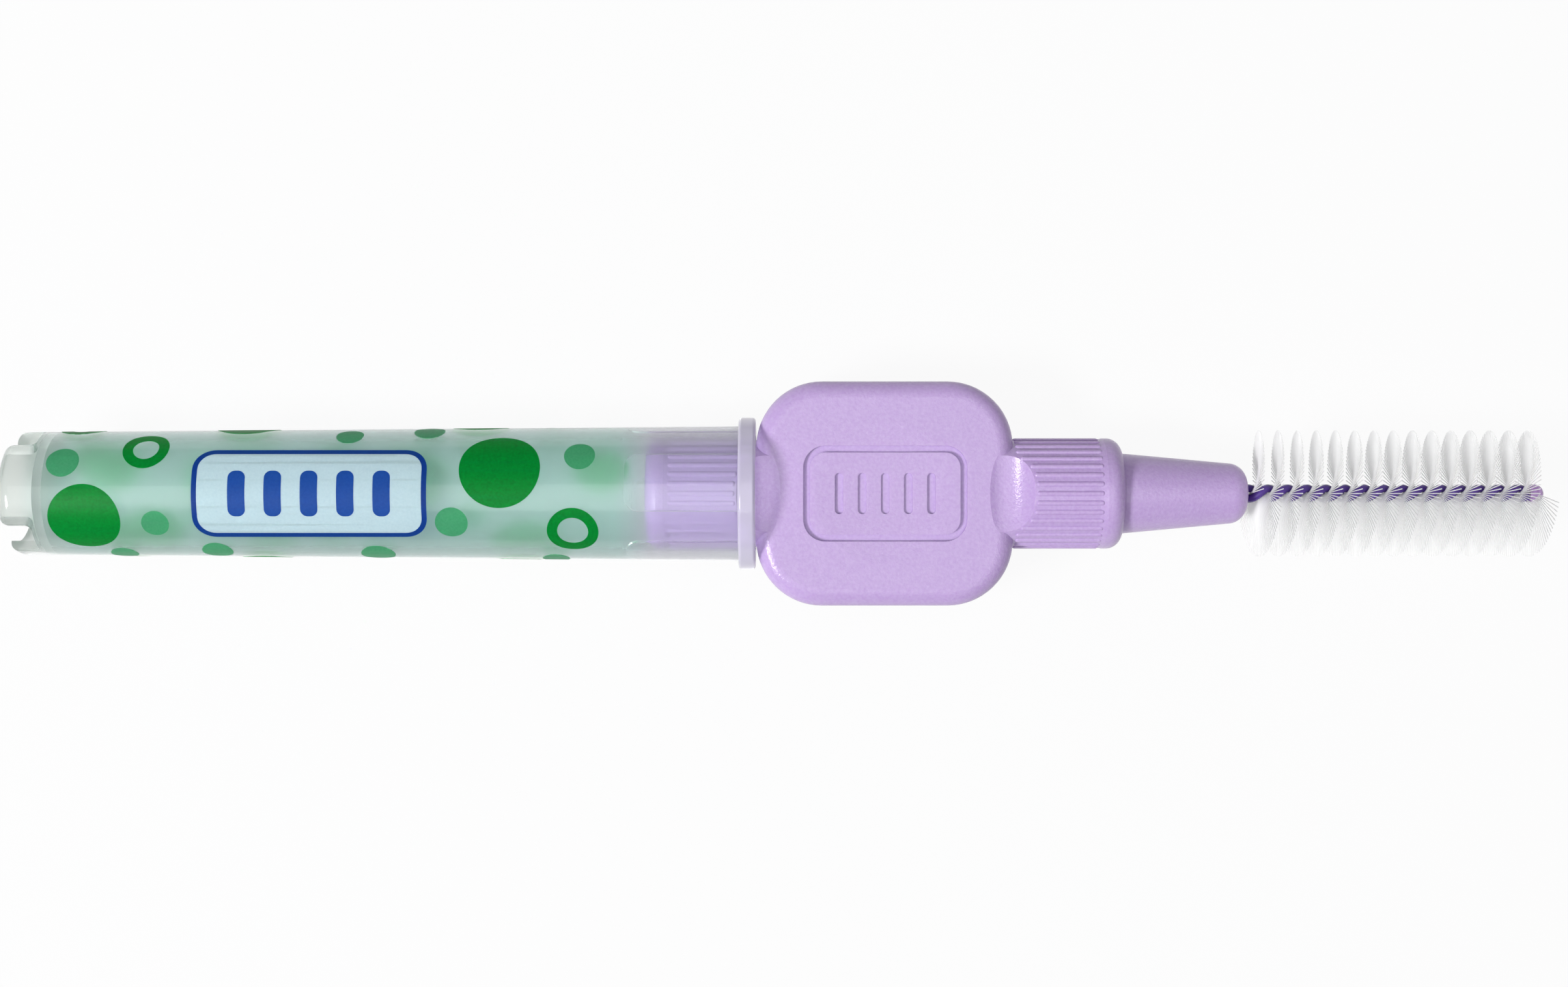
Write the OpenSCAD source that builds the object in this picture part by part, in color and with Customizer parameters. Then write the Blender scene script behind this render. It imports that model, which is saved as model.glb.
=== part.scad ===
// Interdental brush: a thumb pad with a ribbed stem at each end, a twisted wire brush
// on its neck, and a tubular cap pushed on the rear stem. Millimetres.
// X runs along the brush axis towards the tip, Z points up out of the thumb pad,
// and the origin lies on the axis, half way along the whole part.

/* [Pad] */
// Length of the thumb pad along the axis
pad_l = 15.1; // [13:0.1:20]
// Width of the thumb pad
pad_w = 13.2; // [11:0.1:18]
// Thickness of the thumb pad
pad_t = 4.6; // [4:0.1:5.4]
// Radius of the pad's outline at its corners
pad_corner_r = 3.85; // [3:0.05:5]
// Rounding of the pad's edges
pad_edge_r = 1; // [0.6:0.1:1.6]
// Diameter of the shallow thumb dish
dish_d = 8.2; // [6:0.1:10]
// Depth of the thumb dish
dish_depth = 0.12; // [0.05:0.01:0.3]
// Length of the engraved frame on the pad
frame_l = 9.6; // [8:0.1:10]
// Width of the engraved frame on the pad
frame_w = 5.6; // [4.5:0.1:6]
// Radius of the engraved frame's corners
frame_r = 1.3; // [0.8:0.1:2]
// Width of the engraved frame's line
line_w = 0.4; // [0.3:0.05:0.5]
// Depth of the engraving
line_depth = 0.26; // [0.15:0.01:0.4]
// Number of engraved bars in the frame
bar_count = 5; // [3:1:5]
// Length of an engraved bar
bar_l = 2.4; // [1.5:0.1:3]
// Width of an engraved bar
bar_w = 0.5; // [0.3:0.05:0.6]
// Distance from one engraved bar to the next
bar_pitch = 1.35; // [1:0.05:1.5]

/* [Stems] */
// Length of the round stem at each end of the pad
stem_l = 6.5; // [5.5:0.1:9]
// Diameter over the ribs of a stem
stem_d = 6.56; // [6.2:0.02:6.6]
// Rounding of a stem's free end
stem_end_r = 0.85; // [0.5:0.05:0.9]
// Radius of the hollow between the pad's face and the stem
scoop_r = 2; // [1.8:0.1:2.3]
// Width of the hollow on the pad's face
scoop_w = 4.9; // [4.8:0.1:5.4]
// Depth of the hollow below the pad's face
scoop_depth = 0.17; // [0.12:0.01:0.25]
// Distance from the pad's end to the middle of the hollow
scoop_in = 0.62; // [0.5:0.01:0.75]
// Number of ribs round a stem
rib_count = 36; // [24:1:40]
// Width of a rib
rib_w = 0.33; // [0.25:0.01:0.36]
// Height of a rib above the stem's barrel
rib_h = 0.1; // [0.06:0.01:0.12]
// Bare length between the ribs and the stem's free end
rib_stop = 1.55; // [1.3:0.05:2]

/* [Neck] */
// Length of the tapered neck
neck_l = 7.5; // [6:0.1:12]
// Diameter of the neck where it leaves the stem
neck_root_d = 4.78; // [4.3:0.02:4.8]
// Diameter of the neck before its rounded end
neck_tip_d = 3.6; // [3.4:0.1:4]
// Rounding of the neck's end
neck_end_r = 1.1; // [0.6:0.1:1.1]

/* [Brush] */
// Length of the brush from the neck to the tip
brush_l = 17.7; // [14:0.1:24]
// Diameter over the bristles
brush_d = 7.5; // [5:0.1:9]
// Length along the axis of one full turn of the twisted wire
twist_pitch = 2.285; // [2:0.005:3]
// Diameter of the coated wire
wire_d = 0.5; // [0.4:0.01:0.5]
// Diameter of the steel in the wire
core_d = 0.3; // [0.2:0.01:0.32]
// Gap that the filaments hold open between the wire's two legs
leg_gap = 0.1; // [0.08:0.01:0.14]
// Length of wire held in the neck
wire_hold_l = 7; // [4:0.1:9]
// Bristle strands on each side for one full turn of the wire
strands_a_turn = 24; // [20:1:30]
// Width of a bristle strand at its tip
strand_w = 0.08; // [0.05:0.01:0.1]
// Length of the rounded bead on the tip
bead_l = 0.9; // [0.85:0.01:1.2]
// Wall of the tip bead round the folded wire
bead_wall = 0.08; // [0.07:0.01:0.15]

/* [Cap] */
// Length of the cap from its notched end to its mouth
cap_l = 44; // [36:0.5:60]
// Outer diameter at the notched end
cap_end_d = 7.3; // [7.2:0.05:7.6]
// Outer diameter at the mouth, under the ring
cap_mouth_d = 8; // [7.8:0.05:8.6]
// Wall of the tube at its notched end
cap_wall = 0.5; // [0.4:0.05:0.7]
// Rounding of the notched end
cap_end_r = 0.8; // [0.4:0.1:1]
// Diameter of the mouth ring
ring_d = 9; // [8.8:0.1:11]
// Width of the mouth ring
ring_w = 1; // [0.8:0.1:2]
// Rounding of the mouth ring's edges
ring_edge_r = 0.2; // [0.1:0.05:0.35]
// Depth of the open crown at the notched end
crown_depth = 2; // [2:0.1:3]
// Wall of the crown between its notches
crown_wall = 0.75; // [0.6:0.05:1]
// Thickness of the wall that closes the tube
end_wall = 0.6; // [0.4:0.1:1]
// Number of notches in the crown
notch_count = 3; // [2:1:4]
// Width of a notch
notch_w = 2.4; // [1.5:0.1:3]
// Length of a notch along the axis
notch_l = 1.95; // [1.2:0.05:1.95]
// Radius of a notch's inner corners
notch_r = 0.35; // [0.2:0.05:0.5]
// Number of recessed panels in the cap's seat
panel_count = 4; // [3:1:4]
// Width of a recessed panel
panel_w = 3.2; // [2:0.1:3.4]
// Depth of a recessed panel
panel_depth = 0.14; // [0.08:0.01:0.2]
// Radius of a recessed panel's inner corners
panel_r = 0.77; // [0.3:0.01:1]

/* [Fits] */
// Gap between the cap's mouth and the pad when the cap is pushed home
mouth_gap = 0.05; // [0.03:0.01:0.2]
// Running clearance round a stem in the cap's seat
seat_gap = 0.05; // [0.02:0.01:0.1]
// Clearance round the wire in the neck and in the tip bead
wire_gap = 0.02; // [0.01:0.01:0.04]

/* [Hidden] */
$fn = 72;

// Cuts run this far past the surface that they open
over = 1;

// Places along the axis, from the cap's notched end to the tip
whole_l = cap_l + mouth_gap + pad_l + stem_l + neck_l + brush_l;
cap_x = -whole_l / 2;
pad_x = cap_x + cap_l + mouth_gap;
pad_mid_x = pad_x + pad_l / 2;
collar_x = pad_x + pad_l;
neck_x = collar_x + stem_l;
brush_x = neck_x + neck_l;
tip_x = brush_x + brush_l;

// Thumb dish: the flat cap of a very large sphere
dish_sphere_r = (dish_d * dish_d / 4 + dish_depth * dish_depth) / (2 * dish_depth);
dish_fn = 360;

// Stems: a plain barrel with ribs on it, and a band as high as the ribs before the free end
stem_r = stem_d / 2;
barrel_r = stem_r - rib_h;
rib_r = rib_w / 2;
rib_lead = 0.25;
rib_bury = 0.08;
band_ramp = 0.45;

// Hollows: each is cut by the outside of a wide ring of round stock that stands across the axis
scoop_z = pad_t / 2 - scoop_depth;
scoop_sweep_r = (scoop_w * scoop_w / 4 + scoop_depth * scoop_depth) / (2 * scoop_depth);

// Cap: a tapered bore, then a wider seat that takes either stem
seat_r = stem_r + seat_gap;
seat_spare = 1.3;
seat_l = stem_l + seat_spare;
seat_step = 0.08;
bore_x = crown_depth + end_wall;
bore_l = cap_l - seat_l - bore_x;
bore_end_r = cap_end_d / 2 - cap_wall;
bore_mouth_r = seat_r - seat_step;
crown_r = cap_end_d / 2 - crown_wall;
panel_stop = 0.2;
panel_l = seat_l - panel_stop;
notch_turn = 50;
panel_turn = -11.6;

// Twisted wire: two legs, one folded length of wire, whose twist fades out before the fold
wire_r = wire_d / 2;
core_r = core_d / 2;
core_gap = 0.005;
twist_r = wire_r + leg_gap / 2;
fade_l = 0.6;
leg_start_x = brush_x - wire_hold_l + wire_gap;
leg_end_x = tip_x - bead_l - wire_gap;
fade_x = leg_end_x - fade_l;
first_cross_share = 0.337;
rings_a_turn = 8;
fade_rings = 3;
fold_rings = 6;
wire_sides = 6;

// Tip bead: a dome with a socket for the folded steel
socket_r = twist_r + core_r + wire_gap;
bead_r = socket_r + bead_wall;

// Bristles: a thin web that twists between the wire's legs, with a strand on every step
brush_r = brush_d / 2;
brush_lead = 0.2;
web_half = 0.02;
web_r = 0.34;
web_x = brush_x + brush_lead;
web_steps = floor((leg_end_x - web_x) / twist_pitch * strands_a_turn);

// Turn of the first leg about the axis, in degrees, at a place along the axis
function even_turn(x) = 360 * ((x - brush_x) / twist_pitch - first_cross_share);
function turn(x) = x <= fade_x ? even_turn(x)
    : let(u = x - fade_x) even_turn(fade_x) + 360 / twist_pitch * (u - u * u / (2 * fade_l));

// Share of the full twist rate that is left at a place along the axis
function twist_share(x) = x <= fade_x ? 1 : 1 - (x - fade_x) / fade_l;

function unit(v) = v / norm(v);

// A frame is a point on the wire with its outward and its sideways direction
function frame(point, outward, forward) = [point, outward, cross(forward, outward)];

function leg_frame(x, side) =
    let(
        a = turn(x),
        outward = side * [0, sin(a), cos(a)],
        round = side * [0, cos(a), -sin(a)],
        lead = 2 * PI * twist_r / twist_pitch * twist_share(x)
    )
    frame([x, 0, 0] + twist_r * outward, outward, unit([1, 0, 0] + lead * round));

function fold_frame(t) =
    let(
        a = turn(leg_end_x),
        across = [0, sin(a), cos(a)],
        outward = [sin(t), 0, 0] + cos(t) * across,
        forward = [cos(t), 0, 0] - sin(t) * across
    )
    frame([leg_end_x, 0, 0] + twist_r * outward, outward, forward);

// Places of the rings along a leg
even_rings = ceil((fade_x - leg_start_x) / twist_pitch * rings_a_turn);
leg_places = concat(
    [for (i = [0:even_rings]) leg_start_x + (fade_x - leg_start_x) * i / even_rings],
    [for (i = [1:fade_rings]) fade_x + fade_l * i / fade_rings]
);

function leg_frames(side) = [for (x = leg_places) leg_frame(x, side)];

// The whole steel wire: out along one leg, round the fold and back along the other
function folded_frames() =
    let(back = leg_frames(-1), last = len(back) - 1)
    concat(
        leg_frames(1),
        [for (i = [1:fold_rings - 1]) fold_frame(180 * i / fold_rings)],
        [for (i = [0:last]) let(f = back[last - i]) [f[0], f[1], -f[2]]]
    );

// Points of a round tube, ring by ring, with a flat side towards the axis
function tube_points(frames, r) = [
    for (f = frames, k = [0:wire_sides - 1])
        let(a = 360 * (k + 0.5) / wire_sides) f[0] + r * (cos(a) * f[1] + sin(a) * f[2])
];

// Side faces between the rings, two triangles for each side
function tube_faces(rings, first) = [
    for (i = [0:rings - 2], k = [0:wire_sides - 1], half = [0, 1])
        let(
            here = first + i * wire_sides,
            next = here + wire_sides,
            j = (k + 1) % wire_sides
        )
        half == 0 ? [here + k, next + k, next + j] : [here + k, next + j, here + j]
];

function flipped(faces) = [for (f = faces) [f[2], f[1], f[0]]];

// Flat end of a solid tube, as a fan
function disc_faces(first) = [for (k = [1:wire_sides - 2]) [first, first + k, first + k + 1]];

// Flat end of a hollow tube, between its outer and its inner ring
function annulus_faces(outer, inner) = [
    for (k = [0:wire_sides - 1], half = [0, 1])
        let(j = (k + 1) % wire_sides)
        half == 0 ? [outer + k, outer + j, inner + j] : [outer + k, inner + j, inner + k]
];

module solid_tube(frames, r) {
    rings = len(frames);
    polyhedron(
        tube_points(frames, r),
        concat(
            disc_faces(0),
            tube_faces(rings, 0),
            flipped(disc_faces((rings - 1) * wire_sides))
        )
    );
}

module hollow_tube(frames, outer_r, inner_r) {
    rings = len(frames);
    inner = rings * wire_sides;
    end = inner - wire_sides;
    polyhedron(
        concat(tube_points(frames, outer_r), tube_points(frames, inner_r)),
        concat(
            annulus_faces(0, inner),
            tube_faces(rings, 0),
            flipped(tube_faces(rings, inner)),
            flipped(annulus_faces(end, inner + end))
        )
    );
}

// Corners of the web's section at one step, in order round it
function web_ring(x) =
    let(a = turn(x), n = web_half * [0, sin(a), cos(a)], d = web_r * [0, cos(a), -sin(a)])
    [for (v = [d - n, d + n, n - d, -d - n]) [x, 0, 0] + v];

// Corners of the two strand tips that stand on one step of the web
function strand_tips(x) =
    let(
        a = turn(x),
        w = strand_w / 2,
        n = w * [0, sin(a), cos(a)],
        d = brush_r * [0, cos(a), -sin(a)]
    )
    [
        for (side = [1, -1], v = [[-w, -1], [w, -1], [w, 1], [-w, 1]])
            [x + v[0], 0, 0] + side * (d + v[1] * n)
    ];

// Two triangles for a four-cornered face
function quad(a, b, c, d) = [[a, b, c], [a, c, d]];

// A strand: its four sides rise from one face of the web and close in a flat tip
function strand_faces(foot, tip) = [
    for (k = [0:3], half = [0, 1])
        let(j = (k + 1) % 4) quad(foot[k], foot[j], tip + j, tip + k)[half],
    for (half = [0, 1]) quad(tip, tip + 1, tip + 2, tip + 3)[half]
];

function web_faces(steps) = [
    for (i = [0:steps - 1])
        let(here = 4 * i, next = here + 4, tips = 4 * (steps + 1) + 8 * i)
        each concat(
            strand_faces([here, next, next + 1, here + 1], tips),
            quad(here + 1, next + 1, next + 2, here + 2),
            strand_faces([here + 2, next + 2, next + 3, here + 3], tips + 4),
            quad(here + 3, next + 3, next, here)
        )
];

// Half a drum's outline with its far corner rounded, for turning about the axis
module drum_outline(r, l, corner) {
    square([r, l - corner]);
    if (r > corner) square([r - corner, l]);
    translate([r - corner, l - corner])
        intersection() {
            circle(corner);
            square(corner);
        }
}

// Turns an outline about the part's axis: its y becomes the distance along X
module turned(x) {
    translate([x, 0, 0]) rotate([0, 90, 0]) rotate_extrude() children();
}

// Lays an upright cylinder along X, from a place on the axis
module lying(x) {
    translate([x, 0, 0]) rotate([0, 90, 0]) children();
}

// Rectangle with all its corners rounded, about its centre
module round_rect(l, w, r) {
    square([l - 2 * r, w], center = true);
    square([l, w - 2 * r], center = true);
    for (x = [-1, 1], y = [-1, 1])
        translate([x * (l / 2 - r), y * (w / 2 - r)]) circle(r);
}

// Slot that is open at its start and has rounded inner corners
module open_slot(l, w, r) {
    translate([-over, -w / 2]) square([over + l - r, w]);
    translate([-over, r - w / 2]) square([over + l, w - 2 * r]);
    for (y = [-1, 1]) translate([l - r, y * (w / 2 - r)]) circle(r);
}

// Slab with a rounded outline and rounded edges all the way round
module pad() {
    rotate([90, 0, 90])
        linear_extrude(pad_l - 2 * pad_corner_r, center = true) round_rect(pad_w, pad_t, pad_edge_r);
    rotate([90, 0, 0])
        linear_extrude(pad_w - 2 * pad_corner_r, center = true) round_rect(pad_l, pad_t, pad_edge_r);
    for (quarter = [0:3])
        let(x = quarter == 0 || quarter == 3 ? 1 : -1, y = quarter < 2 ? 1 : -1)
            translate([x * (pad_l / 2 - pad_corner_r), y * (pad_w / 2 - pad_corner_r), 0])
                rotate([0, 0, 90 * quarter])
                    rotate_extrude(angle = 90)
                        intersection() {
                            round_rect(2 * pad_corner_r, pad_t, pad_edge_r);
                            translate([0, -pad_t / 2]) square([pad_corner_r, pad_t]);
                        }
}

// Where a hollow's edge crosses the barrel at an angle round the stem
function scoop_edge(a) =
    let(
        y = barrel_r * sin(a),
        rise = scoop_sweep_r - sqrt(scoop_sweep_r * scoop_sweep_r - y * y),
        drop = scoop_z + rise + scoop_r - barrel_r * abs(cos(a))
    )
    drop < scoop_r ? sqrt(scoop_r * scoop_r - drop * drop) - scoop_in : 0;

// One rib: a rod with round ends that stands out of the barrel
module rib(a) {
    start = max(0, scoop_edge(a)) + rib_lead;
    l = stem_l - rib_stop + rib_bury - start;
    rotate([a, 0, 0])
        translate([0, 0, stem_r - rib_r])
            turned(start)
                intersection() {
                    union() {
                        circle(rib_r);
                        square([rib_r, l]);
                        translate([0, l]) circle(rib_r);
                    }
                    translate([0, -rib_r]) square([rib_r, l + 2 * rib_r]);
                }
}

// Stem that grows out of the pad's end, which lies at X = 0
module stem() {
    band_l = stem_l - rib_stop;
    lying(-pad_edge_r) cylinder(r = barrel_r, h = pad_edge_r + stem_l - stem_end_r);
    turned(0)
        union() {
            polygon([
                [0, band_l],
                [barrel_r, band_l],
                [stem_r, band_l + band_ramp],
                [stem_r, stem_l - stem_end_r],
                [0, stem_l - stem_end_r]
            ]);
            intersection() {
                drum_outline(stem_r, stem_l, stem_end_r);
                translate([0, stem_l - stem_end_r]) square([stem_r, stem_end_r]);
            }
        }
    for (i = [0:rib_count - 1]) rib(360 * i / rib_count);
}

// Hollows on both faces of the pad, where a stem grows out of its end at X = 0
module scoops() {
    for (face = [0, 1])
        mirror([0, 0, face])
            translate([-scoop_in, 0, scoop_z + scoop_sweep_r])
                rotate([0, 90, 0])
                    rotate_extrude() translate([scoop_sweep_r - scoop_r, 0]) circle(scoop_r);
}

module neck() {
    turned(neck_x) {
        polygon([
            [0, -stem_end_r],
            [neck_root_d / 2, -stem_end_r],
            [neck_root_d / 2, 0],
            [neck_tip_d / 2, neck_l - neck_end_r],
            [0, neck_l - neck_end_r]
        ]);
        intersection() {
            drum_outline(neck_tip_d / 2, neck_l, neck_end_r);
            translate([0, neck_l - neck_end_r]) square([neck_tip_d / 2, neck_end_r]);
        }
    }
}

// Thumb dish, with a plain frame and a row of bars engraved in it
module pad_marks() {
    intersection() {
        translate([pad_mid_x, 0, pad_t / 2 - dish_depth + dish_sphere_r])
            sphere(dish_sphere_r, $fn = dish_fn);
        translate([pad_mid_x, 0, 0]) cylinder(d = dish_d + pad_edge_r, h = pad_t);
    }
    translate([pad_mid_x, 0, pad_t / 2 - line_depth])
        linear_extrude(line_depth + over) {
            difference() {
                round_rect(frame_l, frame_w, frame_r);
                round_rect(frame_l - 2 * line_w, frame_w - 2 * line_w, frame_r - line_w);
            }
            for (i = [0:bar_count - 1])
                translate([(i - (bar_count - 1) / 2) * bar_pitch, 0]) {
                    square([bar_w, bar_l - bar_w], center = true);
                    for (y = [-1, 1]) translate([0, y * (bar_l - bar_w) / 2]) circle(bar_w / 2);
                }
        }
}

module handle() {
    color("#C2A9DC")
        difference() {
            union() {
                translate([pad_mid_x, 0, 0]) pad();
                translate([collar_x, 0, 0]) stem();
                translate([pad_x, 0, 0]) mirror([1, 0, 0]) stem();
                neck();
            }
            pad_marks();
            translate([collar_x, 0, 0]) scoops();
            translate([pad_x, 0, 0]) mirror([1, 0, 0]) scoops();
            lying(brush_x - wire_hold_l)
                cylinder(r = twist_r + wire_r + wire_gap, h = wire_hold_l + over);
        }
}

module wire_core() {
    color("#B9BCC0") solid_tube(folded_frames(), core_r);
}

module wire_coating() {
    color("#4B2F86")
        for (side = [1, -1]) hollow_tube(leg_frames(side), wire_r, core_r + core_gap);
}

module tip_bead() {
    color("#B48CC8")
        difference() {
            turned(tip_x - bead_l) drum_outline(bead_r, bead_l, bead_r);
            lying(tip_x - bead_l - over) cylinder(r = socket_r, h = over + socket_r + wire_gap);
        }
}

module bristles() {
    step = (leg_end_x - web_x) / web_steps;
    points = concat(
        [for (i = [0:web_steps]) each web_ring(web_x + i * step)],
        [for (i = [0:web_steps - 1]) each strand_tips(web_x + (i + 0.5) * step)]
    );
    last = 4 * web_steps;
    color("#F4F4F2")
        polyhedron(
            points,
            concat(
                quad(0, 1, 2, 3),
                web_faces(web_steps),
                quad(last + 3, last + 2, last + 1, last)
            )
        );
}

// Outside of the cap, with its notched end at X = 0 and its mouth ring at the far end
module cap_outside() {
    turned(0) {
        translate([0, 2 * cap_end_r])
            mirror([0, 1]) drum_outline(cap_end_d / 2, 2 * cap_end_r, cap_end_r);
        polygon([
            [0, cap_end_r],
            [cap_end_d / 2, cap_end_r],
            [cap_mouth_d / 2, cap_l],
            [0, cap_l]
        ]);
        translate([0, cap_l - ring_w / 2]) {
            drum_outline(ring_d / 2, ring_w / 2, ring_edge_r);
            mirror([0, 1]) drum_outline(ring_d / 2, ring_w / 2, ring_edge_r);
        }
    }
}

// Seat for a stem, with shallow panels between the lands that grip it
module cap_seat() {
    lying(cap_l - seat_l) cylinder(r = seat_r, h = seat_l + over);
    intersection() {
        lying(cap_l - seat_l) cylinder(r = seat_r + panel_depth, h = seat_l + over);
        translate([cap_l, 0, 0])
            mirror([1, 0, 0])
                for (i = [0:panel_count - 1])
                    rotate([panel_turn + 360 * i / panel_count, 0, 0])
                        translate([0, 0, seat_r / 2])
                            linear_extrude(seat_r) open_slot(panel_l, panel_w, panel_r);
    }
}

module cap() {
    color("#C4D3CC")
        translate([cap_x, 0, 0])
            difference() {
                cap_outside();
                cap_seat();
                lying(bore_x) cylinder(r1 = bore_end_r, r2 = bore_mouth_r, h = bore_l);
                lying(-over) cylinder(r = crown_r, h = crown_depth + over);
                for (i = [0:notch_count - 1])
                    rotate([notch_turn + 360 * i / notch_count, 0, 0])
                        translate([0, 0, crown_r / 2])
                            linear_extrude(cap_end_d) open_slot(notch_l, notch_w, notch_r);
            }
}

handle();
wire_core();
wire_coating();
tip_bead();
bristles();
cap();
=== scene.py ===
# %% [markdown]
# An interdental brush is a small moulded hand tool: a flat thumb pad with a ribbed stem at each
# end, a twisted wire brush on its neck, and a frosted cap pushed on the rear stem.
# The rigid pieces come from the CAD frame and keep their shape. This lesson gives them their
# finish, and it models what the frame draws plainly: the wire, the nylon filaments and the ink.

# %% Load the fixed frame
import math

import bpy
from mathutils import Matrix, Vector


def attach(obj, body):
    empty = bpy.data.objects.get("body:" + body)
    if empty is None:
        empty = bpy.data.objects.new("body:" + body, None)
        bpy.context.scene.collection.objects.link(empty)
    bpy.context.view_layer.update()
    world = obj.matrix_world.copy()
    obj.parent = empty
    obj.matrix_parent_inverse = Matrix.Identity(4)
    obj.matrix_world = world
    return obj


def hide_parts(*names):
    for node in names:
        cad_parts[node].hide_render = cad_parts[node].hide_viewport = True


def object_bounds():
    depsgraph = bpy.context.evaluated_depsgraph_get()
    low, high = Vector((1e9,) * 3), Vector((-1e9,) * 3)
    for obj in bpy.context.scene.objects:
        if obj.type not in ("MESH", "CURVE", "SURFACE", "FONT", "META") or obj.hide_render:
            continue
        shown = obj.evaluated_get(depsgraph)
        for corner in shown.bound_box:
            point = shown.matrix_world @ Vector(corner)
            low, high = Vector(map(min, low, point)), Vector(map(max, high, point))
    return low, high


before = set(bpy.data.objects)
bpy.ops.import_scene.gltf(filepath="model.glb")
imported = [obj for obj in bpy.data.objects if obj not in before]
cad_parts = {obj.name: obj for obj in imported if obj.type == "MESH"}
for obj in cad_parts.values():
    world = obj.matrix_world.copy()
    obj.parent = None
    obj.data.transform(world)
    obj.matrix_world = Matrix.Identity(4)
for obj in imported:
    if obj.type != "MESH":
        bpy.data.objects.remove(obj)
cad_low, cad_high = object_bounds()
print("frame nodes:", sorted(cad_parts))

# %% [markdown]
# Blender works in metres and the brush in millimetres, so one value turns one into the other.
# Colours are written as the eye reads them, as sRGB hex, and one function makes them linear.

# %% Units and colours
MM = 0.001


def linear(hex_colour):
    """Linear RGBA, fully opaque, of an sRGB hex colour such as '#C2A9DC'."""
    channels = [int(hex_colour[i : i + 2], 16) / 255 for i in (1, 3, 5)]
    return [c / 12.92 if c <= 0.04045 else ((c + 0.055) / 1.055) ** 2.4 for c in channels] + [1.0]


# %% [markdown]
# The photograph looks straight down on the thumb pad. Its frame is 2408 by 1515 pixels at about
# 26 pixels to the millimetre, and the object's middle lies a little left of the frame's middle.
# The camera stands close, because the fans far from the middle are seen obliquely. Blender
# measures a sensor and a lens in millimetres.

# %% Camera
PHOTO_W = 2408
PIXELS_PER_MM = 25.8
VIEW_W = PHOTO_W / PIXELS_PER_MM * MM
CAMERA_HEIGHT = 125 * MM
VIEW_MIDDLE_X = 0.255 * MM
SENSOR_W = 36
NEAREST = 1 * MM
FARTHEST = 20

bpy.ops.object.camera_add(location=(VIEW_MIDDLE_X, 0, CAMERA_HEIGHT), rotation=(0, 0, 0))
camera = bpy.context.object
camera.name = "photo_camera"
camera.data.sensor_width = SENSOR_W
camera.data.lens = SENSOR_W * CAMERA_HEIGHT / VIEW_W
camera.data.clip_start = NEAREST
camera.data.clip_end = FARTHEST
bpy.context.scene.camera = camera
print("lens:", round(camera.data.lens, 1), "mm")

# %% [markdown]
# Three small helpers. An operator acts on everything that is selected, so one of them leaves a
# single object selected and active. The second adds a shader node with its settings and links,
# and the third starts a material that such nodes go into.


# %% Helpers
def only(piece):
    """Leaves one object selected and active."""
    bpy.ops.object.select_all(action="DESELECT")
    piece.select_set(True)
    bpy.context.view_layer.objects.active = piece
    return piece


def add_node(tree, kind, settings=None, links=None):
    """Adds a shader node, sets its sockets or properties, and links outputs into its inputs."""
    made = tree.nodes.new(kind)
    for name, value in (settings or {}).items():
        if isinstance(name, int) or name in made.inputs:
            made.inputs[name].default_value = value
        else:
            setattr(made, name, value)
    for name, source in (links or {}).items():
        tree.links.new(source, made.inputs[name])
    return made


def new_material(name):
    """An empty node material, with its tree and its output node."""
    material = bpy.data.materials.new(name)
    material.use_nodes = True
    tree = material.node_tree
    tree.nodes.clear()
    return material, tree, add_node(tree, "ShaderNodeOutputMaterial")


# %% [markdown]
# The handle is injection-moulded polypropylene in lilac. Its mould is spark-eroded, which leaves
# a fine grain about 0.14 mm wide that breaks each highlight into sparkles. The plastic lets a
# little light in, so its edges look soft. A noise as fine as the grain drives the bump, and a
# slightly coarser one varies the colour. The shape itself is left to the frame.

# %% Handle material
GRAIN = 0.14 * MM
SPECK = 1.3 * GRAIN
GRAIN_DEPTH = 0.02 * MM
LIGHT_REACH = 0.6 * MM


def moulded_lilac():
    """Lilac polypropylene from a spark-eroded mould."""
    material, tree, out = new_material("lilac moulded polypropylene")
    place = add_node(tree, "ShaderNodeTexCoord").outputs["Object"]
    grain = add_node(
        tree, "ShaderNodeTexNoise", {"Scale": 1 / GRAIN, "Detail": 2.0, "Roughness": 0.6}, {"Vector": place}
    )
    specks = add_node(tree, "ShaderNodeTexNoise", {"Scale": 1 / SPECK, "Detail": 1.0}, {"Vector": place})
    tint = add_node(
        tree,
        "ShaderNodeMix",
        {"data_type": "RGBA", 6: linear("#B99CD3"), 7: linear("#C9B2DF")},
        {0: specks.outputs["Fac"]},
    )
    bump = add_node(
        tree,
        "ShaderNodeBump",
        {"Strength": 1.0, "Distance": GRAIN_DEPTH},
        {"Height": grain.outputs["Fac"]},
    )
    shader = add_node(
        tree,
        "ShaderNodeBsdfPrincipled",
        {
            "Roughness": 0.24,
            "IOR": 1.49,
            "Subsurface Weight": 0.25,
            "Subsurface Radius": (1.0, 0.7, 1.0),
            "Subsurface Scale": LIGHT_REACH,
        },
        {"Base Color": tint.outputs[2], "Normal": bump.outputs["Normal"]},
    )
    tree.links.new(shader.outputs[0], out.inputs["Surface"])
    return material


def dress(node_name, material):
    """Gives a CAD node its finish."""
    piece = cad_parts[node_name]
    piece.data.materials.clear()
    piece.data.materials.append(material)
    print(node_name, "is", material.name)


dress("handle", moulded_lilac())

# %% [markdown]
# The cap is the same plastic without a pigment. A frosted polypropylene tube lets light through
# but scatters it, so the stem inside shows as a soft lilac shadow, and the print on the far side
# as a cloud of colour. Blender's rough glass stops the lamps' light, and all that it covers would
# be too dark, so a share of each shadow ray goes straight through.


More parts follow.
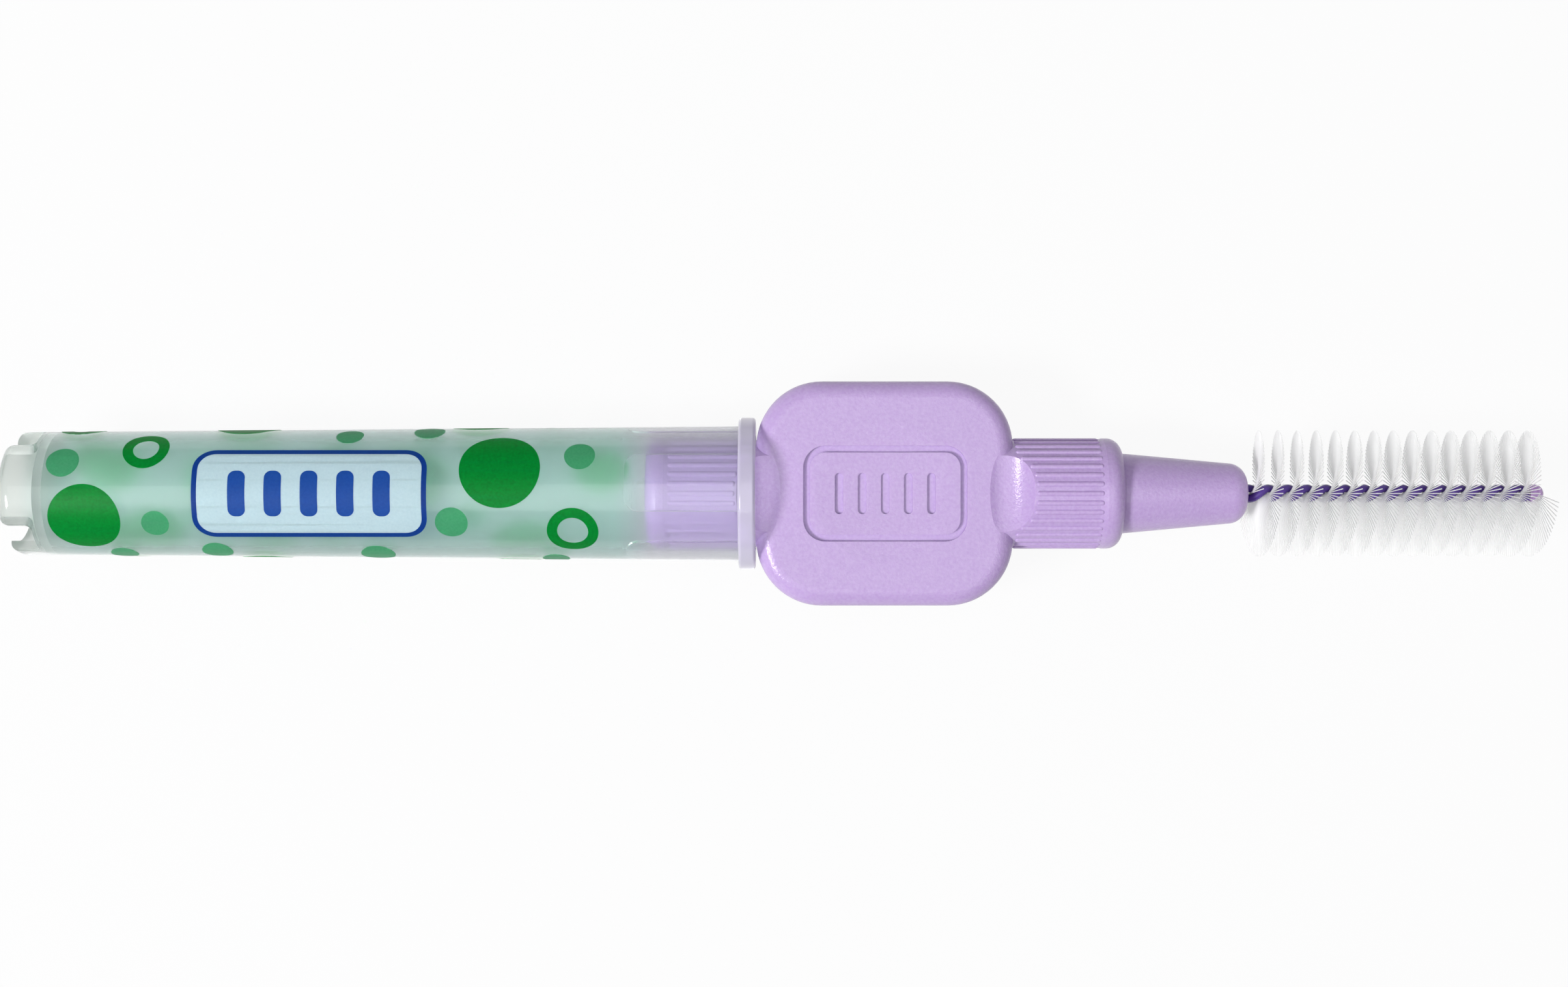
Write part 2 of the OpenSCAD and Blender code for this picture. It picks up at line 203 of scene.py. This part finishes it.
# %% Light through thin plastic
def let_lamps_through(tree, shader, out, share, clearness=None):
    """Lets a share of the lamps' light pass straight through each surface, as a thin wall does."""
    path = add_node(tree, "ShaderNodeLightPath")
    passed = add_node(
        tree, "ShaderNodeMath", {"operation": "MULTIPLY", 1: share}, {0: path.outputs["Is Shadow Ray"]}
    )
    if clearness:
        passed = add_node(
            tree, "ShaderNodeMath", {"operation": "MULTIPLY"}, {0: passed.outputs[0], 1: clearness}
        )
    clear = add_node(tree, "ShaderNodeBsdfTransparent")
    mix = add_node(
        tree, "ShaderNodeMixShader", {}, {0: passed.outputs[0], 1: shader.outputs[0], 2: clear.outputs[0]}
    )
    tree.links.new(mix.outputs[0], out.inputs["Surface"])


# %% [markdown]
# The tube's outside is smooth, and its inside is frosted by the mould's blasted core. A radius
# between the two tells the faces apart, so the far print is blurred under a glossy skin. In the
# seat that grips the stem, four panels lie deeper and are smoother, so the stem's ribs show
# through these alone, and a radius tells them from the rest of the seat. The wall's colour holds
# painted light: it is colourless at the crown, a painted teal where the print is, for light that
# the inks colour, and a painted lilac near the handle, for the handle's light. A larger radius
# finds the thick mouth ring, which is milky and painted lilac, for the handle's light seen through
# it. The sheen is the pale bloom that scattered light gives the tube towards its edges.

# %% Cap material
SEAT_TO_PANEL_R = 3.40 * MM
BETWEEN_WALLS_R = 3.52 * MM
RING_R = 4.15 * MM
OUTSIDE_ROUGHNESS = 0.12
FROST_ROUGHNESS = 0.40
PANEL_ROUGHNESS = 0.20
CAP_GRAIN_DEPTH = 0.01 * MM
PANELS_FROM, PANELS_FULL = -9.6 * MM, -9.0 * MM
CROWN_END, PRINT_START = -44.2 * MM, -41.5 * MM
PRINT_END, CLEAR_START = -9.6 * MM, -7.6 * MM
TUBE_TRANSMISSION = 0.90
RING_TRANSMISSION = 0.35
WALL_LETS_THROUGH = 0.75


def frosted_cap():
    """Unpigmented polypropylene with a smooth outside, a frosted inside and painted light in its colour."""
    material, tree, out = new_material("frosted clear polypropylene")
    place = add_node(tree, "ShaderNodeTexCoord").outputs["Object"]
    grain = add_node(tree, "ShaderNodeTexNoise", {"Scale": 1 / GRAIN, "Detail": 2.0}, {"Vector": place})
    bump = add_node(
        tree,
        "ShaderNodeBump",
        {"Strength": 0.15, "Distance": CAP_GRAIN_DEPTH},
        {"Height": grain.outputs["Fac"]},
    )
    along = add_node(tree, "ShaderNodeSeparateXYZ", {}, {0: place}).outputs["X"]
    across = add_node(
        tree, "ShaderNodeVectorMath", {"operation": "MULTIPLY", 1: (0, 1, 1)}, {0: place}
    )
    radius = add_node(tree, "ShaderNodeVectorMath", {"operation": "LENGTH"}, {0: across.outputs[0]})
    outside = add_node(
        tree,
        "ShaderNodeMath",
        {"operation": "GREATER_THAN", 1: BETWEEN_WALLS_R},
        {0: radius.outputs["Value"]},
    )
    ring = add_node(
        tree, "ShaderNodeMath", {"operation": "GREATER_THAN", 1: RING_R}, {0: radius.outputs["Value"]}
    )
    panel = add_node(
        tree,
        "ShaderNodeMath",
        {"operation": "GREATER_THAN", 1: SEAT_TO_PANEL_R},
        {0: radius.outputs["Value"]},
    )
    seat_roughness = add_node(
        tree,
        "ShaderNodeMath",
        {"operation": "MULTIPLY_ADD", 1: PANEL_ROUGHNESS - FROST_ROUGHNESS, 2: FROST_ROUGHNESS},
        {0: panel.outputs[0]},
    )
    inside_roughness = add_node(
        tree,
        "ShaderNodeMapRange",
        {"From Min": PANELS_FROM, "From Max": PANELS_FULL, "To Min": FROST_ROUGHNESS},
        {"Value": along, "To Max": seat_roughness.outputs[0]},
    )
    roughness = add_node(
        tree,
        "ShaderNodeMix",
        {"data_type": "FLOAT", 3: OUTSIDE_ROUGHNESS},
        {0: outside.outputs[0], 2: inside_roughness.outputs[0]},
    )
    # Painted light: the wall turns a painted teal where the print is, for light that the inks colour.
    printed_part = add_node(
        tree, "ShaderNodeMapRange", {"From Min": CROWN_END, "From Max": PRINT_START}, {"Value": along}
    )
    front_tint = add_node(
        tree,
        "ShaderNodeMix",
        {"data_type": "RGBA", 6: linear("#D6DCD8"), 7: linear("#C6DDD9")},
        {0: printed_part.outputs[0]},
    )
    # Painted light: near the seat the wall turns a painted lilac, for the handle's light.
    clear_part = add_node(
        tree, "ShaderNodeMapRange", {"From Min": PRINT_END, "From Max": CLEAR_START}, {"Value": along}
    )
    wall_colour_and_painted_light = add_node(
        tree,
        "ShaderNodeMix",
        {"data_type": "RGBA", 7: linear("#D4D6DC")},
        {0: clear_part.outputs[0], 6: front_tint.outputs[2]},
    )
    # Painted light: the mouth ring is painted lilac, for the handle's light seen through it.
    tint = add_node(
        tree,
        "ShaderNodeMix",
        {"data_type": "RGBA", 7: linear("#DFDAEE")},
        {0: ring.outputs[0], 6: wall_colour_and_painted_light.outputs[2]},
    )
    clearness = add_node(
        tree,
        "ShaderNodeMath",
        {"operation": "MULTIPLY_ADD", 1: RING_TRANSMISSION - TUBE_TRANSMISSION, 2: TUBE_TRANSMISSION},
        {0: ring.outputs[0]},
    )
    shader = add_node(
        tree,
        "ShaderNodeBsdfPrincipled",
        {"IOR": 1.49, "Sheen Weight": 1.0, "Sheen Roughness": 0.3},
        {
            "Base Color": tint.outputs[2],
            "Roughness": roughness.outputs[0],
            "Transmission Weight": clearness.outputs[0],
            "Normal": bump.outputs["Normal"],
        },
    )
    let_lamps_through(tree, shader, out, WALL_LETS_THROUGH, clearness.outputs[0])
    return material


dress("cap", frosted_cap())

# %% [markdown]
# The small pieces of the brush head are smooth plastics: a bead moulded on the wire's tip, a
# coating extruded round the wire, and nylon filaments. One function gives them all a surface with
# faint waves, and takes what differs: their colour, gloss and clearness. The bead is clear enough
# to glow where light passes through it. The steel core is drawn wire, whose lines run along it,
# so its noise is stretched along the axis. Bead and core keep the shape that the frame gives them.

# %% Finishes of the brush head
WAVE = 0.3 * MM
WAVE_DEPTH = 0.01 * MM
DRAWN_LINE_W = 0.03 * MM
DRAWN_LINE_L = 0.375 * MM
DRAWN_LINE_DEPTH = 0.005 * MM


def plain_plastic(name, hex_colour, roughness, transmission=0.0, lamps_through=0.0):
    """A smooth plastic that may be clear."""
    material, tree, out = new_material(name)
    place = add_node(tree, "ShaderNodeTexCoord").outputs["Object"]
    waves = add_node(tree, "ShaderNodeTexNoise", {"Scale": 1 / WAVE, "Detail": 1.0}, {"Vector": place})
    bump = add_node(
        tree, "ShaderNodeBump", {"Strength": 0.2, "Distance": WAVE_DEPTH}, {"Height": waves.outputs["Fac"]}
    )
    shader = add_node(
        tree,
        "ShaderNodeBsdfPrincipled",
        {
            "Base Color": linear(hex_colour),
            "Roughness": roughness,
            "IOR": 1.5,
            "Transmission Weight": transmission,
        },
        {"Normal": bump.outputs["Normal"]},
    )
    if lamps_through:
        let_lamps_through(tree, shader, out, lamps_through)
    else:
        tree.links.new(shader.outputs[0], out.inputs["Surface"])
    return material


def drawn_steel():
    """Stainless steel wire with the lines of its drawing die."""
    material, tree, out = new_material("drawn stainless steel")
    place = add_node(tree, "ShaderNodeTexCoord").outputs["Object"]
    stretched = add_node(
        tree, "ShaderNodeMapping", {"Scale": (DRAWN_LINE_W / DRAWN_LINE_L, 1, 1)}, {"Vector": place}
    )
    lines = add_node(
        tree,
        "ShaderNodeTexNoise",
        {"Scale": 1 / DRAWN_LINE_W, "Detail": 2.0},
        {"Vector": stretched.outputs[0]},
    )
    tint = add_node(
        tree,
        "ShaderNodeMix",
        {"data_type": "RGBA", 6: linear("#A6A8AB"), 7: linear("#C9CBCE")},
        {0: lines.outputs["Fac"]},
    )
    bump = add_node(
        tree,
        "ShaderNodeBump",
        {"Strength": 0.4, "Distance": DRAWN_LINE_DEPTH},
        {"Height": lines.outputs["Fac"]},
    )
    shader = add_node(
        tree,
        "ShaderNodeBsdfPrincipled",
        {"Metallic": 1.0, "Roughness": 0.35},
        {"Base Color": tint.outputs[2], "Normal": bump.outputs["Normal"]},
    )
    tree.links.new(shader.outputs[0], out.inputs["Surface"])
    return material


bead_finish = plain_plastic(
    "translucent lilac bead", "#CDACDF", roughness=0.2, transmission=0.65, lamps_through=0.5
)
dress("tip_bead", bead_finish)
dress("wire_core", drawn_steel())

# %% [markdown]
# The brush stands on a length of wire that is folded once and twisted. Each leg's place follows
# one law: a full turn for each pitch, which fades out before the fold. The wire's coating and the
# filaments both follow it, so it is written once, as an angle about the axis. Seen from above, the
# legs first cross at a known share of a pitch after the brush's start, and there the angle is 0.

# %% The twist
LEG_R = 0.30 * MM
PITCH = 2.285 * MM
BRUSH_X = 27.725 * MM
LEG_START_X = 20.745 * MM
LEG_END_X = 44.505 * MM
FADE_L = 0.6 * MM
FADE_X = LEG_END_X - FADE_L
FIRST_CROSS_SHARE = 0.337


def even_twist(x):
    """Angle about the axis at a place along the wire, at a full turn for each pitch."""
    return math.tau * ((x - BRUSH_X) / PITCH - FIRST_CROSS_SHARE)


def twist(x):
    """The same angle for the legs, whose turning fades out before the fold."""
    late = max(0, x - FADE_X)
    return even_twist(x - late * late / (2 * FADE_L))


print("turns of the wire:", round((twist(LEG_END_X) - twist(LEG_START_X)) / math.tau, 1))

# %% [markdown]
# Each leg is a round rod on a helix. A poly curve through points of the law, with a round bevel,
# gives that in few steps, and it is made a mesh at the end. Twenty-four points to a turn keep the
# helix smooth. The two legs are joined as one piece, which replaces the frame's coarser helix.
# The coating is a smooth deep purple plastic, so its gloss draws a bright line along each turn.

# %% Coated wire
WIRE_R = 0.25 * MM
POINTS_A_TURN = 24
QUARTER_STEPS = 3
MERGE_WITHIN = 0.0005 * MM
SMOOTH_BELOW = math.radians(40)
leg_steps = math.ceil((LEG_END_X - LEG_START_X) / PITCH * POINTS_A_TURN)


def coated_leg(name, side):
    """One leg of the wire, on one side of the axis or, with -1, on the other."""
    path = bpy.data.curves.new(name, "CURVE")
    path.dimensions = "3D"
    path.bevel_depth = WIRE_R
    path.bevel_resolution = QUARTER_STEPS
    path.use_fill_caps = True
    spline = path.splines.new("POLY")
    spline.points.add(leg_steps)
    for i, point in enumerate(spline.points):
        x = LEG_START_X + (LEG_END_X - LEG_START_X) * i / leg_steps
        angle = twist(x)
        point.co = (x, side * LEG_R * math.sin(angle), side * LEG_R * math.cos(angle), 1)
    leg = bpy.data.objects.new(name, path)
    bpy.context.collection.objects.link(leg)
    only(leg)
    bpy.ops.object.convert(target="MESH")
    return bpy.context.object


def joined(pieces, name):
    """Joins some objects as one, with its doubles merged and its normals outward."""
    bpy.ops.object.select_all(action="DESELECT")
    for piece in pieces:
        piece.select_set(True)
    bpy.context.view_layer.objects.active = pieces[0]
    if len(pieces) > 1:
        bpy.ops.object.join()
    whole = bpy.context.object
    whole.name = name
    bpy.ops.object.transform_apply(location=True, rotation=True, scale=True)
    bpy.ops.object.mode_set(mode="EDIT")
    bpy.ops.mesh.select_all(action="SELECT")
    bpy.ops.mesh.remove_doubles(threshold=MERGE_WITHIN)
    bpy.ops.mesh.normals_make_consistent(inside=False)
    bpy.ops.object.mode_set(mode="OBJECT")
    bpy.ops.object.shade_smooth_by_angle(angle=SMOOTH_BELOW)
    return whole


wire = joined([coated_leg("leg_a", 1), coated_leg("leg_b", -1)], "coated_wire")
wire.data.materials.append(plain_plastic("smooth purple wire coating", "#4B2F86", roughness=0.25))
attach(wire, "brush")
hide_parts("wire_coating")
print("coated wire:", len(wire.data.polygons), "faces")

# %% [markdown]
# The bristles are nylon filaments, each one straight and held at its middle between the two legs.
# One is modelled as a six-sided rod whose ends are rounded, as on a real brush. A hair curve
# would be lighter, but a rod is a real mesh that can leave Blender.

# %% One filament
FILAMENT_R = 0.034 * MM
FILAMENT_L = 7.5 * MM
FILAMENT_SIDES = 6
END_ROUNDING = 0.55 * FILAMENT_R
END_STEPS = 2

bpy.ops.mesh.primitive_cylinder_add(
    vertices=FILAMENT_SIDES, radius=FILAMENT_R, depth=FILAMENT_L, rotation=(math.pi / 2, 0, 0)
)
seed = only(bpy.context.object)
bpy.ops.object.transform_apply(rotation=True)
bpy.ops.object.mode_set(mode="EDIT")
bpy.ops.mesh.select_all(action="DESELECT")
bpy.ops.object.mode_set(mode="OBJECT")
# The edges round the two end faces lie across the rod.
for edge in seed.data.edges:
    ends = [seed.data.vertices[i].co.y for i in edge.vertices]
    edge.select = abs(ends[0] - ends[1]) < FILAMENT_R
bpy.ops.object.mode_set(mode="EDIT")
bpy.ops.mesh.bevel(offset=END_ROUNDING, segments=END_STEPS, clamp_overlap=True)
bpy.ops.object.mode_set(mode="OBJECT")
print("one filament:", len(seed.data.polygons), "faces")

# %% [markdown]
# Copies of the filament stand along the wire, each turned by the law of the twist. Together they
# draw the fans that the brush is known by. The last few stand in the bead, which is moulded
# round them. Nylon filament is white and lets light in, so a fan is pale where it is thin, and
# grey where its filaments stand in each other's shadow.

# %% All the filaments
FILAMENTS_A_TURN = 88
FIRST_FILAMENT_X = 27.95 * MM
LAST_FILAMENT_X = 45.06 * MM
filament_count = math.floor((LAST_FILAMENT_X - FIRST_FILAMENT_X) / PITCH * FILAMENTS_A_TURN)
copies = []
for i in range(filament_count):
    x = FIRST_FILAMENT_X + PITCH * i / FILAMENTS_A_TURN
    copy = seed.copy()
    copy.data = seed.data.copy()
    copy.data.transform(Matrix.Translation((x, 0, 0)) @ Matrix.Rotation(-even_twist(x), 4, "X"))
    bpy.context.collection.objects.link(copy)
    copies.append(copy)
bpy.data.objects.remove(seed)
filaments = joined(copies, "filaments")
nylon = plain_plastic(
    "white nylon filament", "#F8F8F8", roughness=0.3, transmission=0.5, lamps_through=0.65
)
filaments.data.materials.append(nylon)
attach(filaments, "brush")
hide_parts("bristles")
print("filaments:", filament_count, "faces:", len(filaments.data.polygons))

# %% [markdown]
# The cap is pad-printed with thin inks. Its pattern here is a plain one of discs and rings in two
# greens, with a pale blue label that holds five plain bars. Each shape starts flat, as a circle
# or a plane with bevelled corners, and a ring or a rim keeps only the border that an inset makes.
# The shape is cut in narrow strips along the tube, so that it can bend round it.

# %% Flat shapes
STRIP_W = 0.22 * MM
DISC_SIDES = 56
CORNER_STEPS = 10


def in_edit(piece):
    """Enters edit mode with everything selected."""
    only(piece)
    bpy.ops.object.mode_set(mode="EDIT")
    bpy.ops.mesh.select_all(action="SELECT")


def cut_in_strips(piece, half_w):
    """Cuts a flat shape along the tube's axis, one cut for each strip."""
    in_edit(piece)
    cuts = math.floor(half_w / STRIP_W)
    for i in range(-cuts, cuts + 1):
        bpy.ops.mesh.select_all(action="SELECT")
        bpy.ops.mesh.bisect(plane_co=(0, i * STRIP_W, 0), plane_no=(0, 1, 0))
    bpy.ops.object.mode_set(mode="OBJECT")
    return piece


def disc(radius, hole=0.0):
    """A flat disc or, with a hole, a flat ring."""
    bpy.ops.mesh.primitive_circle_add(vertices=DISC_SIDES, radius=radius, fill_type="NGON")
    piece = only(bpy.context.object)
    if hole:
        in_edit(piece)
        bpy.ops.mesh.inset(thickness=radius - hole)
        bpy.ops.mesh.delete(type="FACE")
        bpy.ops.object.mode_set(mode="OBJECT")
    return cut_in_strips(piece, radius)


def plate(length, width, corner, rim=0.0):
    """A flat plate with round corners or, with a rim, only that rim."""
    bpy.ops.mesh.primitive_plane_add(size=1)
    piece = only(bpy.context.object)
    piece.scale = (length, width, 1)
    bpy.ops.object.transform_apply(scale=True)
    in_edit(piece)
    bpy.ops.mesh.bevel(offset=corner, segments=CORNER_STEPS, affect="VERTICES")
    bpy.ops.mesh.select_all(action="SELECT")
    if rim:
        bpy.ops.mesh.inset(thickness=rim)
        bpy.ops.mesh.delete(type="FACE")
    bpy.ops.object.mode_set(mode="OBJECT")
    return cut_in_strips(piece, width / 2)


# %% [markdown]
# A flat shape is then printed: its width is laid off along the tube's curve, it is held above the
# tube, turned about the axis, and pressed on it with a Shrinkwrap modifier. Solidify gives it the
# thickness of an ink. The label's bars lie on its field, so they are held a little higher.

# %% Printing
TUBE_R = 3.85 * MM
HELD_AT_R = 6 * MM
INK_T = 0.02 * MM
INK_LIFT = 0.025 * MM
SECOND_LIFT = 0.04 * MM


def printed(piece, x, turn, lift=INK_LIFT):
    """Presses a flat shape on the tube, at x millimetres on its axis and turned by degrees."""
    for point in piece.data.vertices:
        point.co.y = TUBE_R * math.sin(point.co.y / TUBE_R)
    piece.data.transform(Matrix.Translation((x * MM, 0, HELD_AT_R)))
    piece.rotation_euler = (math.radians(turn), 0, 0)
    only(piece)
    press = piece.modifiers.new("press", "SHRINKWRAP")
    press.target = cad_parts["cap"]
    press.wrap_method = "PROJECT"
    press.use_project_z = True
    press.use_positive_direction = False
    press.use_negative_direction = True
    press.offset = lift
    bpy.ops.object.modifier_apply(modifier=press.name)
    ink = piece.modifiers.new("ink", "SOLIDIFY")
    ink.thickness = INK_T
    ink.offset = -1
    bpy.ops.object.modifier_apply(modifier=ink.name)
    return piece


# %% [markdown]
# The places are chosen so that each side of the tube has a few shapes. A row holds a
# place on the axis in millimetres, a turn about it in degrees, a radius in millimetres and, for a
# ring, the radius of its hole. The label is there twice, nearly opposite. On the front no two
# shapes touch, and underneath the second label still crosses two dark discs, a ring and a light
# disc.

# %% Layout of the print
DARK_DISCS = [
    (-40.3, 24, 2.1),
    (-16.2, -22, 2.35),
    (-38.2, 128, 2.3),
    (-30.5, 106, 1.7),
    (-15.4, 118, 2.1),
    (-22.4, 196, 2.2),
    (-40.8, 214, 2.0),
    (-31.6, -98, 1.9),
    (-10.9, 206, 1.7),
    (-17.8, -104, 1.8),
]
DARK_RINGS = [
    (-12.0, 34, 1.5, 0.9),
    (-36.9, -44, 1.35, 0.75),
    (-34.6, 196, 1.6, 0.95),
    (-41.4, -92, 1.3, 0.7),
]
LIGHT_DISCS = [
    (-41.6, -30, 0.95),
    (-36.2, 28, 0.8),
    (-19.0, 26, 0.95),
    (-11.6, -34, 0.9),
    (-25.2, -62, 0.8),
    (-33.0, 64, 0.9),
    (-23.6, 68, 1.0),
    (-13.2, 78, 0.8),
    (-38.6, 72, 0.8),
    (-20.6, -70, 0.9),
    (-27.0, 120, 1.1),
    (-18.8, 156, 1.0),
    (-35.4, 160, 0.8),
    (-26.8, 236, 1.0),
    (-13.6, 250, 1.1),
]
LABEL_X = -27.2
LABEL_TURNS = (0, 172)
LABEL_L, LABEL_W, LABEL_CORNER, LABEL_RIM = 13.6 * MM, 5.5 * MM, 1.3 * MM, 0.3 * MM
LABEL_INNER_L, LABEL_INNER_W = LABEL_L - 2 * LABEL_RIM, LABEL_W - 2 * LABEL_RIM
BAR_L, BAR_W, BAR_CORNER = 1.0 * MM, 2.7 * MM, 0.42 * MM
BAR_PITCH, BAR_COUNT = 2.1, 5
bar_places = [LABEL_X + BAR_PITCH * (i - (BAR_COUNT - 1) / 2) for i in range(BAR_COUNT)]
print("discs:", len(DARK_DISCS) + len(LIGHT_DISCS), "rings:", len(DARK_RINGS))
print("bars at:", [round(x, 1) for x in bar_places], "mm")

# %% [markdown]
# An ink lies on its plastic in a grain of tiny dots, so its colour varies between two values. From
# inside the tube its film is seen with the light coming through it, so that side is given a brighter
# painted colour, a painted backlight, and lets more pass. A normal that points to the axis tells the
# inner side from the outer. Such an ink dries nearly matt and keeps its deep colour in any light,
# so its IOR and specular level are set below those of a glossy plastic.

# %% Ink materials
INK_GRAIN_DEPTH = 0.02 * MM
INK_TRANSMISSION = 0.45
BACK_TRANSMISSION = 0.9
INK_LETS_THROUGH = 0.6


def ink_material(name, hex_low, hex_high, hex_painted_backlight):
    """A thin printed ink, whose inner side has a brighter painted colour for the light behind it."""
    material, tree, out = new_material(name)
    coordinates = add_node(tree, "ShaderNodeTexCoord")
    place = coordinates.outputs["Object"]
    grain = add_node(
        tree, "ShaderNodeTexNoise", {"Scale": 1 / GRAIN, "Detail": 2.0, "Roughness": 0.6}, {"Vector": place}
    )
    front_tint = add_node(
        tree,
        "ShaderNodeMix",
        {"data_type": "RGBA", 6: linear(hex_low), 7: linear(hex_high)},
        {0: grain.outputs["Fac"]},
    )
    across = add_node(
        tree, "ShaderNodeVectorMath", {"operation": "MULTIPLY", 1: (0, 1, 1)}, {0: place}
    )
    outward = add_node(
        tree,
        "ShaderNodeVectorMath",
        {"operation": "DOT_PRODUCT"},
        {0: across.outputs[0], 1: coordinates.outputs["Normal"]},
    )
    back = add_node(
        tree, "ShaderNodeMath", {"operation": "LESS_THAN", 1: 0.0}, {0: outward.outputs["Value"]}
    )
    # Painted light: the inner side takes the brighter back colour, a painted backlight.
    tint = add_node(
        tree,
        "ShaderNodeMix",
        {"data_type": "RGBA", 7: linear(hex_painted_backlight)},
        {0: back.outputs[0], 6: front_tint.outputs[2]},
    )
    clearness = add_node(
        tree,
        "ShaderNodeMath",
        {"operation": "MULTIPLY_ADD", 1: BACK_TRANSMISSION - INK_TRANSMISSION, 2: INK_TRANSMISSION},
        {0: back.outputs[0]},
    )
    bump = add_node(
        tree,
        "ShaderNodeBump",
        {"Strength": 0.3, "Distance": INK_GRAIN_DEPTH},
        {"Height": grain.outputs["Fac"]},
    )
    shader = add_node(
        tree,
        "ShaderNodeBsdfPrincipled",
        {"Roughness": 0.4, "IOR": 1.25, "Specular IOR Level": 0.15},
        {
            "Base Color": tint.outputs[2],
            "Transmission Weight": clearness.outputs[0],
            "Normal": bump.outputs["Normal"],
        },
    )
    let_lamps_through(tree, shader, out, INK_LETS_THROUGH)
    return material


# %% [markdown]
# All that is printed in one ink becomes one piece, which rides on the cap. Four inks are used:
# dark green, light green, dark blue for the label's rim and bars, and pale blue for its field.


# %% Print the cap
def inked(pieces, name, material):
    """Joins the shapes of one ink and gives them its finish."""
    whole = joined(pieces, name)
    whole.data.materials.clear()
    whole.data.materials.append(material)
    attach(whole, "cap")
    print(name + ":", len(whole.data.polygons), "faces")


inked(
    [printed(disc(r * MM), x, turn) for x, turn, r in DARK_DISCS]
    + [printed(disc(r * MM, hole * MM), x, turn) for x, turn, r, hole in DARK_RINGS],
    "print_dark_green",
    ink_material("dark green pad-printing ink", "#006A28", "#00A042", "#58F08C"),
)
inked(
    [printed(disc(r * MM), x, turn) for x, turn, r in LIGHT_DISCS],
    "print_light_green",
    ink_material("light green pad-printing ink", "#3F966A", "#5CAC82", "#B4F4CC"),
)
bars = [
    printed(plate(BAR_L, BAR_W, BAR_CORNER), x, turn, SECOND_LIFT)
    for turn in LABEL_TURNS
    for x in bar_places
]
rims = [
    printed(plate(LABEL_L, LABEL_W, LABEL_CORNER, LABEL_RIM), LABEL_X, turn)
    for turn in LABEL_TURNS
]
inked(
    rims + bars,
    "label_rim_and_bars",
    ink_material("dark blue pad-printing ink", "#103A8C", "#184A9E", "#2F57B4"),
)
inked(
    [
        printed(plate(LABEL_INNER_L, LABEL_INNER_W, LABEL_CORNER - LABEL_RIM), LABEL_X, turn)
        for turn in LABEL_TURNS
    ],
    "label_field",
    ink_material("pale blue pad-printing ink", "#B8CDD6", "#CEDFE4", "#D8E6EA"),
)

# %% [markdown]
# A pale floor lies just under the mouth ring. To the camera, and to rays that a surface mirrors
# or the cap lets through, it is mostly a plain white light. The small rest is a matt surface, which
# keeps the object's soft shadow, and all other rays see only that.

# %% Floor
FLOOR_W = 3.0
FLOOR_GAP = 0.02 * MM
FLOOR_WHITE_SHARE = 0.93

bpy.ops.mesh.primitive_plane_add(size=FLOOR_W, location=(0, 0, cad_low[2] - FLOOR_GAP))
floor = bpy.context.object
floor.name = "floor"


def pale_floor():
    """White to the eye and matt to the lamps."""
    material, tree, out = new_material("pale studio floor")
    path = add_node(tree, "ShaderNodeLightPath")
    seen = add_node(
        tree,
        "ShaderNodeMath",
        {"operation": "ADD", "use_clamp": True},
        {0: path.outputs["Is Camera Ray"], 1: path.outputs["Is Glossy Ray"]},
    )
    shown = add_node(
        tree,
        "ShaderNodeMath",
        {"operation": "ADD", "use_clamp": True},
        {0: seen.outputs[0], 1: path.outputs["Is Transmission Ray"]},
    )
    share = add_node(
        tree, "ShaderNodeMath", {"operation": "MULTIPLY", 1: FLOOR_WHITE_SHARE}, {0: shown.outputs[0]}
    )
    matt = add_node(tree, "ShaderNodeBsdfDiffuse", {"Color": linear("#D6D6D8")})
    white = add_node(tree, "ShaderNodeEmission", {"Color": linear("#FFFFFF"), "Strength": 1.0})
    mix = add_node(
        tree, "ShaderNodeMixShader", {}, {0: share.outputs[0], 1: matt.outputs[0], 2: white.outputs[0]}
    )
    tree.links.new(mix.outputs[0], out.inputs["Surface"])
    return material


floor.data.materials.append(pale_floor())
print("floor at:", round(floor.location.z / MM, 2), "mm")

# %% [markdown]
# Soft light comes from two softboxes: a small one at the left that draws the highlights on the
# rounded edges, and a wide one above that lights the faces. Each row holds a lamp's name, place,
# width, height and power, in metres and watts.

# %% Lamps
LAMPS = [
    ("key softbox", (-0.262, -0.095, 0.312), 0.12, 0.08, 1.4),
    ("top softbox", (0.01, -0.06, 0.6), 0.55, 0.5, 1.45),
]
for name, place, width, height, power in LAMPS:
    bpy.ops.object.light_add(type="AREA", location=place)
    lamp = bpy.context.object
    lamp.name = name
    lamp.data.shape = "RECTANGLE"
    lamp.data.size = width
    lamp.data.size_y = height
    lamp.data.energy = power
    lamp.rotation_euler = (-Vector(place)).to_track_quat("-Z", "Y").to_euler()
    print(name, "stands", round(Vector(place).length / MM), "mm away")

# %% [markdown]
# The room round the table is dim, so that the softboxes shape the object, but where the camera
# sees it, or sees it through the cap, it is as pale as the floor. The Standard view shows each
# colour as it is written.

# %% Room
ROOM_STRENGTH = 0.18
ROOM_SEEN_STRENGTH = 1.06

world = bpy.context.scene.world or bpy.data.worlds.new("studio")
bpy.context.scene.world = world
world.use_nodes = True
room = world.node_tree
room.nodes.clear()
room_path = add_node(room, "ShaderNodeLightPath")
room_seen = add_node(
    room,
    "ShaderNodeMath",
    {"operation": "ADD", "use_clamp": True},
    {0: room_path.outputs["Is Camera Ray"], 1: room_path.outputs["Is Transmission Ray"]},
)
room_strength = add_node(
    room,
    "ShaderNodeMath",
    {"operation": "MULTIPLY_ADD", 1: ROOM_SEEN_STRENGTH - ROOM_STRENGTH, 2: ROOM_STRENGTH},
    {0: room_seen.outputs[0]},
)
room_light = add_node(
    room, "ShaderNodeBackground", {"Color": linear("#F4F5F7")}, {"Strength": room_strength.outputs[0]}
)
add_node(room, "ShaderNodeOutputWorld", {}, {"Surface": room_light.outputs[0]})
bpy.context.scene.view_settings.view_transform = "Standard"
